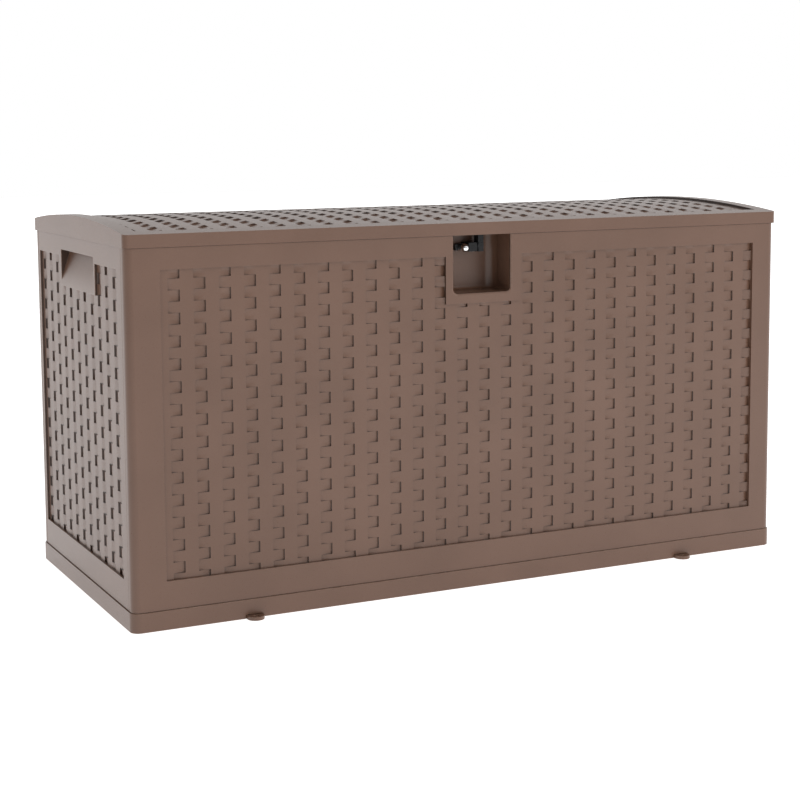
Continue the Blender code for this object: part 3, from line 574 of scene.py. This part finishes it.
upright_sides = {
    "left": Matrix(((0, 0, -1), (-1, 0, 0), (0, 1, 0))),
    "right": Matrix(((0, 0, 1), (1, 0, 0), (0, 1, 0))),
}
SIDE_STAKE_Y = 0.0312
SIDE_FIELD_Y = (-0.2194, 0.2348)
SIDE_PLATE_HALF = 0.1026
SIDE_PLATE_LOW_Z = 0.5044
for side_name, side in (("left", -1), ("right", 1)):
    side_low, side_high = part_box(f"side_panel_{side_name}")
    face_x = side_low.x if side < 0 else side_high.x
    side_wall = moulding_from(f"side_panel_{side_name}", f"side_wall_{side_name}")
    soften(side_wall, 0.0010)
    ends = sorted(side * end for end in SIDE_FIELD_Y)
    side_weave = weave_cutter(
        "side_weave", side * SIDE_STAKE_Y, EVEN_ROW_Z, *ends, FIELD_LOW_Z, FIELD_HIGH_Z
    )
    thicken_outward(side_weave)
    sunk_x = face_x - side * (FIELD_SINK - FIELD_SKIM)
    stand_up(side_weave, upright_sides[side_name], (sunk_x, 0.0, 0.0))
    plate_low = (face_x - PLATE_REACH, -SIDE_PLATE_HALF, SIDE_PLATE_LOW_Z)
    plate_high = (face_x + PLATE_REACH, SIDE_PLATE_HALF, PLATE_TOP_Z)
    carve(side_weave, box_cutter("plate_space", plate_low, plate_high))
    carve(side_wall, side_weave)
    mark_steps(
        side_wall,
        (side, 0, 0),
        side * face_x,
        (-1.0, -SIDE_FIELD_Y[1], FIELD_LOW_Z),
        (1.0, SIDE_FIELD_Y[1], FIELD_HIGH_Z),
    )
    finish_moulding(side_wall, brown_resin, "box", f"side_panel_{side_name}")


# ---- Lid ---------------------------------------------------------------------------------------
# An arched moulding with the weave sunk in its top inside a smooth rim. The strips run the length
# of the box and the stakes run over the arch from front to back.

LID_SIDE_X = 0.604
LID_CHORD = 0.265
LID_RISE = 0.0165
LID_EDGE_Z = 0.609
LID_RADIUS = (LID_CHORD**2 + LID_RISE**2) / (2 * LID_RISE)
LID_RIM = 0.027
LID_SKIM = 0.00006
LID_STEP_LIFT = 0.001  # steps are looked for from this far above the arch's crown downwards

lid = moulding_from("lid_shell", "lid")
soften(lid, 0.0014)
lid_weave = weave_cutter(
    "lid_weave",
    STAKE_PITCH / 2,
    STRIP_H / 2,
    LID_RIM - LID_SIDE_X,
    LID_SIDE_X - LID_RIM,
    LID_RIM - LID_CHORD,
    LID_CHORD - LID_RIM,
)
# the flat weave is laid over the arch before it is thickened
lid_sunk = LID_EDGE_Z + LID_RISE - LID_RADIUS - FIELD_SINK + LID_SKIM
for vertex in lid_weave.data.vertices:
    vertex.co.z += lid_sunk + math.sqrt(LID_RADIUS**2 - vertex.co.y**2)
thicken_outward(lid_weave)
carve(lid, lid_weave)
mark_steps(
    lid,
    (0, 0, 1),
    LID_EDGE_Z + LID_RISE + LID_STEP_LIFT,
    (LID_RIM - LID_SIDE_X, LID_RIM - LID_CHORD, -1.0),
    (LID_SIDE_X - LID_RIM, LID_CHORD - LID_RIM, 1.0),
)
finish_moulding(lid, brown_resin, "lid", "lid_shell")


# ---- Base and anchor tabs ----------------------------------------------------------------------
# A brown moulded frame that the four walls plug into, with a thin lip all round. Four tabs slide
# under it to pin the box to a deck, each with a countersunk hole for one screw.

base = moulding_from("base_frame", "base")
soften(base, 0.0012)
finish_moulding(base, brown_resin, "box", "base_frame")


def lathe(name, profile, start, along, sides=48):
    """A turned shape: profile lists (radius, distance along the axis), starting and ending on it."""
    bpy.ops.object.select_all(action="DESELECT")
    bpy.ops.mesh.primitive_plane_add(size=0.01)
    made = bpy.context.object
    made.name = name
    bpy.ops.object.mode_set(mode="EDIT")
    bpy.ops.mesh.select_mode(type="VERT")
    bpy.ops.mesh.merge(type="CENTER")
    bpy.ops.transform.translate(value=(profile[0][0], 0.0, profile[0][1]))
    for (radius, height), (next_radius, next_height) in zip(profile, profile[1:]):
        step = (next_radius - radius, 0.0, next_height - height)
        bpy.ops.mesh.extrude_vertices_move(TRANSFORM_OT_translate={"value": step})
    bpy.ops.mesh.select_all(action="SELECT")
    bpy.ops.mesh.spin(steps=sides, angle=math.tau, center=(0.0, 0.0, 0.0), axis=(0.0, 0.0, 1.0))
    bpy.ops.mesh.select_all(action="SELECT")
    bpy.ops.mesh.remove_doubles(threshold=0.00001)
    bpy.ops.object.mode_set(mode="OBJECT")
    turn = Vector(along).normalized().to_track_quat("Z", "Y")
    made.matrix_world = Matrix.Translation(start) @ turn.to_matrix().to_4x4()
    only(made)
    bpy.ops.object.transform_apply(location=True, rotation=True)
    bpy.ops.object.mode_set(mode="EDIT")
    bpy.ops.mesh.select_all(action="SELECT")
    bpy.ops.mesh.normals_make_consistent(inside=False)
    bpy.ops.object.mode_set(mode="OBJECT")
    return made


def put_together(first, *others):
    bpy.ops.object.select_all(action="DESELECT")
    for obj in (first, *others):
        obj.select_set(True)
    bpy.context.view_layer.objects.active = first
    bpy.ops.object.join()
    return first


TAB_HOLE_IN = 0.010  # from the tab's round end to the middle of its hole
SINK_DEPTH = 0.0014
SINK_PROFILE = [(0, 0), (0.0042, 0), (0.0064, 0.0022), (0, 0.0022)]
for depth_name, outward in (("front", -1), ("back", 1)):
    for width_name in ("left", "right"):
        node = f"anchor_tab_{depth_name}_{width_name}"
        tab_low, tab_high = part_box(node)
        end_y = tab_low.y if outward < 0 else tab_high.y
        hole_y = end_y - outward * TAB_HOLE_IN
        hole = ((tab_low.x + tab_high.x) / 2, hole_y, tab_high.z - SINK_DEPTH)
        tab = moulding_from(node, f"deck_{node}")
        soften(tab, 0.0009, 3)
        carve(tab, lathe("countersink", SINK_PROFILE, hole, (0, 0, 1)))
        finish_moulding(tab, brown_resin, "box", node)


# ---- Floor -------------------------------------------------------------------------------------
# Two dark resin boards that drop onto the base's ledge and meet on a cross bearer. Low ribs keep
# stored cushions off any water on them.

dark_brown_resin = resin_material(
    "dark_brown_resin", (0.060, 0.034, 0.024), (0.075, 0.043, 0.031), 0.42, 0.56
)
FLOOR_RIB_PITCH = 0.040
FLOOR_RIB_H = 0.0012
FLOOR_RIB_ROOT = 0.0010  # how far a rib starts below the board's top
FLOOR_RIB_W = 0.008
FLOOR_RIB_END = 0.022  # from a board's edge to a rib
for width_name in ("left", "right"):
    node = f"floor_panel_{width_name}"
    board_low, board_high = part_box(node)
    board = moulding_from(node, f"floor_board_{width_name}")
    soften(board, 0.0012)
    count = int((board_high.x - board_low.x - FLOOR_RIB_END - FLOOR_RIB_W) / FLOOR_RIB_PITCH)
    rib_x = board_low.x + FLOOR_RIB_END
    rib = box_cutter(
        "floor_rib",
        (rib_x, board_low.y + FLOOR_RIB_END, board_high.z - FLOOR_RIB_ROOT),
        (rib_x + FLOOR_RIB_W, board_high.y - FLOOR_RIB_END, board_high.z + FLOOR_RIB_H),
    )
    soften(rib, 0.0008)
    apply_modifier(
        rib,
        "ARRAY",
        count=count,
        use_relative_offset=False,
        use_constant_offset=True,
        constant_offset_displace=(FLOOR_RIB_PITCH, 0.0, 0.0),
    )
    carve(board, rib, "UNION")
    finish_moulding(board, dark_brown_resin, "box", node)
bearer = moulding_from("floor_bearer", "cross_bearer")
soften(bearer, 0.0012)
finish_moulding(bearer, dark_brown_resin, "box", "floor_bearer")


# ---- Metals ------------------------------------------------------------------------------------
# Black baked enamel on pressed steel, bright zinc plating with its faint spangle, and polished
# chrome. Enamel and plating are rubbed through to brighter metal along the edges.

metal_surface, metal_in, metal_out = new_group(
    "metal_surface",
    [
        ("Dark Colour", "NodeSocketColor", (0.010, 0.010, 0.011, 1.0)),
        ("Light Colour", "NodeSocketColor", (0.016, 0.016, 0.017, 1.0)),
        ("Worn Colour", "NodeSocketColor", (0.200, 0.200, 0.205, 1.0)),
        ("Smoothest", "NodeSocketFloat", 0.25),
        ("Roughest", "NodeSocketFloat", 0.40),
        ("Wear", "NodeSocketFloat", 0.3),
        ("Patch Scale", "NodeSocketFloat", 220.0),
        ("Peel Scale", "NodeSocketFloat", 1400.0),
        ("Peel Depth", "NodeSocketFloat", 0.00002),
    ],
    [("Colour", "NodeSocketColor"), ("Roughness", "NodeSocketFloat"), ("Normal", "NodeSocketVector")],
)
place = metal_surface.nodes.new("ShaderNodeTexCoord").outputs["Object"]
patch = noise_into(metal_surface, place, metal_in.outputs["Patch Scale"], 3.0, 0.6)
peel = noise_into(metal_surface, place, metal_in.outputs["Peel Scale"], 2.0, 0.5)
plated = blended(
    metal_surface,
    ranged(metal_surface, patch, 0.35, 0.65, 0.0, 1.0),
    metal_in.outputs["Dark Colour"],
    metal_in.outputs["Light Colour"],
)
scuffed = metal_surface.nodes.new("ShaderNodeMath")
scuffed.operation = "MULTIPLY"
metal_surface.links.new(face_mask(metal_surface, "rubbed_edge"), scuffed.inputs[0])
metal_surface.links.new(
    ranged(metal_surface, patch, 0.45, 0.60, 0.0, metal_in.outputs["Wear"]), scuffed.inputs[1]
)
metal_surface.links.new(
    blended(metal_surface, scuffed.outputs["Value"], plated, metal_in.outputs["Worn Colour"]),
    metal_out.inputs["Colour"],
)
metal_surface.links.new(
    ranged(metal_surface, patch, 0.3, 0.7, metal_in.outputs["Smoothest"], metal_in.outputs["Roughest"]),
    metal_out.inputs["Roughness"],
)
ripple = metal_surface.nodes.new("ShaderNodeBump")
ripple.inputs["Strength"].default_value = 1.0
metal_surface.links.new(metal_in.outputs["Peel Depth"], ripple.inputs["Distance"])
metal_surface.links.new(peel, ripple.inputs["Height"])
metal_surface.links.new(ripple.outputs["Normal"], metal_out.inputs["Normal"])


def metal_material(name, metallic, dark, light, worn, smoothest, roughest, wear):
    made, shader = surfaced_material(
        name,
        metal_surface,
        {"Dark Colour": dark, "Light Colour": light, "Worn Colour": worn},
        {"Smoothest": smoothest, "Roughest": roughest, "Wear": wear},
    )
    shader.inputs["Metallic"].default_value = metallic
    return made


black_steel = metal_material(
    "black_steel",
    0.0,
    (0.008, 0.008, 0.009),
    (0.014, 0.014, 0.015),
    (0.13, 0.13, 0.135),
    0.24,
    0.38,
    0.5,
)
black_steel.node_tree.nodes["Principled BSDF"].inputs["Specular IOR Level"].default_value = 0.22
zinc_steel = metal_material(
    "zinc_steel", 1.0, (0.50, 0.51, 0.53), (0.64, 0.65, 0.67), (0.78, 0.78, 0.79), 0.24, 0.42, 0.6
)
chrome = metal_material(
    "chrome", 1.0, (0.83, 0.83, 0.84), (0.87, 0.87, 0.88), (0.90, 0.90, 0.90), 0.04, 0.09, 0.3
)


# ---- Latch -------------------------------------------------------------------------------------
# A black steel housing screwed to the recess's back wall guides a round bolt. Its chromed ball
# slides the bolt to the right, into the eye of a black keeper that hangs from the lid.

housing = moulding_from("latch_housing", "bolt_housing")
soften(housing, 0.0005)
finish_moulding(housing, black_steel, "box", "latch_housing", rub=0.0005)
keeper = moulding_from("latch_keeper", "lid_keeper")
soften(keeper, 0.0007)
finish_moulding(keeper, black_steel, "lid", "latch_keeper", rub=0.0006)

bolt_low, bolt_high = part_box("latch_bolt")
BOLT_R = (bolt_high.z - bolt_low.z) / 2
BOLT_L = bolt_high.x - bolt_low.x
bolt_profile = [(0, 0), (BOLT_R - 0.0006, 0), (BOLT_R, 0.0006)]
bolt_profile += [(BOLT_R, BOLT_L - 0.0012), (BOLT_R - 0.0012, BOLT_L), (0, BOLT_L)]
bolt_start = Vector((bolt_low.x, (bolt_low.y + bolt_high.y) / 2, (bolt_low.z + bolt_high.z) / 2))
bolt = lathe("round_bolt", bolt_profile, bolt_start, (1, 0, 0))
finish_moulding(bolt, black_steel, "bolt", "latch_bolt", rub=0.0007)

knob_low, knob_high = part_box("latch_knob")
KNOB_R = (knob_high.z - knob_low.z) / 2
knob_x = (knob_low.x + knob_high.x) / 2
ball_y = knob_low.y + KNOB_R
profile = [
    (KNOB_R * math.sin(math.radians(a)), -KNOB_R * math.cos(math.radians(a))) for a in range(0, 162, 6)
]
stem_start = bolt_start.y - BOLT_R - ball_y
profile += [(0.0026, stem_start - 0.0012), (0.0026, stem_start - 0.0002), (0.0016, stem_start)]
profile += [(0.0016, knob_high.y - ball_y), (0, knob_high.y - ball_y)]
ball = lathe("ball_knob", profile, (knob_x, ball_y, bolt_start.z), (0, 1, 0), 64)
finish_moulding(ball, chrome, "bolt", "latch_knob", rub=0.0)


def pan_head(name, under, outward, radius, height):
    """A pan-head screw's head with a cross recess, its underside at under."""
    head = [(0, 0), (radius, 0), (radius, height * 0.35), (radius * 0.9, height * 0.75)]
    head += [(radius * 0.62, height * 0.96), (0, height)]
    made = lathe(name, head, under, outward, 32)
    outward = Vector(outward).normalized()
    turn = outward.to_track_quat("Z", "Y").to_matrix().to_4x4()
    for long_way in (0, 1):
        size = (radius * 1.25, radius * 0.30) if long_way else (radius * 0.30, radius * 1.25)
        bar = box_cutter("cross", (-size[0] / 2, -size[1] / 2, 0.0), (size[0] / 2, size[1] / 2, height))
        bar.matrix_world = Matrix.Translation(Vector(under) + outward * height * 0.45) @ turn
        only(bar)
        bpy.ops.object.transform_apply(location=True, rotation=True)
        carve(made, bar)
    return made


for width_name in ("left", "right"):
    node = f"latch_screw_{width_name}"
    screw_low, screw_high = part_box(node)
    middle = (screw_low + screw_high) / 2
    under = (middle.x, screw_high.y, middle.z)
    radius = (screw_high.z - screw_low.z) / 2
    height = screw_high.y - screw_low.y
    screw = pan_head(f"housing_screw_{width_name}", under, (0, -1, 0), radius, height)
    finish_moulding(screw, zinc_steel, "box", node, rub=0.0)


# ---- Hinges ------------------------------------------------------------------------------------
# Three dark resin hinges at the back. Each has a leaf screwed to the wall and one screwed to the
# lid's skirt, and a zinc-plated pin with domed heads runs through their knuckles.

LEAF_SCREW_X = 0.021  # each side of a leaf's middle
LEAF_SCREW_Y = 0.0029  # from a leaf's inner face to the underside of its screws' heads
LEAF_SCREW_H = 0.0018
BODY_SCREW_Z = 0.0125  # up from the body leaf's lower edge
LID_SCREW_Z = 0.0045  # down from the lid leaf's upper edge
BODY_SCREW_R = 0.0034
LID_SCREW_R = 0.0026
for place_name in ("left", "middle", "right"):
    for part, body in (("body", "box"), ("lid", "lid")):
        node = f"hinge_{part}_leaf_{place_name}"
        leaf_low, leaf_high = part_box(node)
        leaf = moulding_from(node, f"{part}_leaf_{place_name}")
        soften(leaf, 0.0005)
        finish_moulding(leaf, dark_brown_resin, body, node, rub=0.0005)
        screw_z = leaf_low.z + BODY_SCREW_Z if part == "body" else leaf_high.z - LID_SCREW_Z
        radius = BODY_SCREW_R if part == "body" else LID_SCREW_R
        for index, shift in enumerate((-LEAF_SCREW_X, LEAF_SCREW_X)):
            name = f"{part}_leaf_screw_{place_name}_{index}"
            under = ((leaf_low.x + leaf_high.x) / 2 + shift, leaf_low.y + LEAF_SCREW_Y, screw_z)
            screw = pan_head(name, under, (0, 1, 0), radius, LEAF_SCREW_H)
            finish_addition(screw, zinc_steel, body)
    pin_low, pin_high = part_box(f"hinge_pin_{place_name}")
    pin_r = (pin_high.z - pin_low.z) / 2
    pin_l = pin_high.x - pin_low.x
    pin_profile = [(0, 0), (pin_r * 0.6, 0.0002), (pin_r, 0.0009), (pin_r, pin_l - 0.0009)]
    pin_profile += [(pin_r * 0.6, pin_l - 0.0002), (0, pin_l)]
    pin_start = (pin_low.x, (pin_low.y + pin_high.y) / 2, (pin_low.z + pin_high.z) / 2)
    pin = lathe(f"pin_{place_name}", pin_profile, pin_start, (1, 0, 0))
    finish_moulding(pin, zinc_steel, "box", f"hinge_pin_{place_name}", rub=0.0)


# ---- Lid stiffeners ----------------------------------------------------------------------------
# Two channels of folded zinc-plated steel screwed up under the lid's ribs, so that the long
# moulding doesn't sag.

for depth_name in ("front", "back"):
    node = f"lid_stiffener_{depth_name}"
    channel = moulding_from(node, f"lid_channel_{depth_name}")
    soften(channel, 0.0004)
    finish_moulding(channel, zinc_steel, "lid", node, rub=0.0005)


# ---- Gas struts --------------------------------------------------------------------------------
# A black enamelled cylinder and a polished rod at each end of the box hold the lid open. Their
# eyes turn on studs in pressed brackets, one on the side wall and one under the lid.

EYE_R = 0.0075
TUBE_R = 0.0090
TUBE_END = 0.1650  # from the foot's pivot to the end that the rod comes out of
BORE_R = 0.0043
BORE_END = 0.0330
TUBE_EYE_R = 0.0085
TUBE_EYE_W = 0.0080
TUBE_EYE_BORE_R = 0.0037
ROD_R = 0.0040
ROD_START = 0.0360
COLLAR_R = 0.0056
ROD_EYE_HALF = 0.0040
STUD_R = 0.0035
BRACKET_T = 0.0030
FOOT_SCREW_SHIFT = 0.0125  # to each side of the pivot, and below it
FOOT_SCREW_R = 0.0032
FOOT_SCREW_H = 0.0017
for side_name, side in (("left", -1), ("right", 1)):
    foot_low, foot_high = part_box(f"strut_foot_bracket_{side_name}")
    rod_low, rod_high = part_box(f"strut_rod_{side_name}")
    tube_low, tube_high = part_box(f"strut_cylinder_{side_name}")
    strut_x = (tube_low.x + tube_high.x) / 2
    foot = Vector((strut_x, (foot_low.y + foot_high.y) / 2, (foot_low.z + foot_high.z) / 2))
    head = Vector((strut_x, rod_low.y + EYE_R, rod_high.z - EYE_R))
    along = (head - foot).normalized()
    reach = (head - foot).length

    # the tube is stepped at its foot and has a rolled groove near its open end
    tube_profile = [(0, 0.0070), (0.0050, 0.0070), (0.0050, 0.0195), (0.0078, 0.0200)]
    tube_profile += [(TUBE_R, 0.0214), (TUBE_R, 0.1580), (0.0086, 0.1588), (0.0086, 0.1600)]
    tube_profile += [(TUBE_R, 0.1608), (TUBE_R, 0.1636), (0.0078, TUBE_END)]
    tube_profile += [(BORE_R, TUBE_END), (BORE_R, BORE_END), (0, BORE_END)]
    tube = lathe(f"strut_tube_{side_name}", tube_profile, foot, along, 64)
    eye_profile = [(TUBE_EYE_BORE_R, 0), (0.0080, 0), (TUBE_EYE_R, 0.0005), (TUBE_EYE_R, 0.0075)]
    eye_profile += [(0.0080, TUBE_EYE_W), (TUBE_EYE_BORE_R, TUBE_EYE_W), (TUBE_EYE_BORE_R, 0)]
    eye = lathe("tube_eye", eye_profile, foot - Vector((TUBE_EYE_W / 2, 0, 0)), (1, 0, 0))
    node = f"strut_cylinder_{side_name}"
    cylinder = put_together(tube, eye)
    finish_moulding(cylinder, black_steel, f"cylinder_{side_name}", node, rub=0.0)

    rod_profile = [(0, ROD_START), (0.0034, ROD_START), (ROD_R, 0.0366), (ROD_R, reach - 0.0125)]
    rod_profile += [(COLLAR_R, reach - 0.0120), (COLLAR_R, reach - 0.0060), (0, reach - 0.0060)]
    bar = lathe(f"strut_bar_{side_name}", rod_profile, foot, along)
    stud_l = abs((rod_low.x if side < 0 else rod_high.x) - head.x)
    end_profile = [(0, -ROD_EYE_HALF), (0.0069, -ROD_EYE_HALF), (EYE_R, -0.0034), (EYE_R, 0.0034)]
    end_profile += [(0.0069, ROD_EYE_HALF), (STUD_R, ROD_EYE_HALF), (STUD_R, stud_l - 0.0004)]
    end_profile += [(0.0031, stud_l), (0, stud_l)]
    end = lathe("rod_end", end_profile, head, (side, 0, 0))
    node = f"strut_rod_{side_name}"
    finish_moulding(put_together(bar, end), chrome, f"rod_{side_name}", node, rub=0.0)

    for part, body in (("foot", "box"), ("lid", "lid")):
        node = f"strut_{part}_bracket_{side_name}"
        bracket = moulding_from(node, f"{part}_bracket_{side_name}")
        soften(bracket, 0.0005)
        finish_moulding(bracket, black_steel, body, node, rub=0.0005)
    plate_x = -side * BRACKET_T + (foot_low.x if side < 0 else foot_high.x)
    for index, shift in enumerate((-FOOT_SCREW_SHIFT, FOOT_SCREW_SHIFT)):
        name = f"foot_screw_{side_name}_{index}"
        under = (plate_x, foot.y + shift, foot.z - FOOT_SCREW_SHIFT)
        screw = pan_head(name, under, (-side, 0, 0), FOOT_SCREW_R, FOOT_SCREW_H)
        finish_addition(screw, zinc_steel, "box")
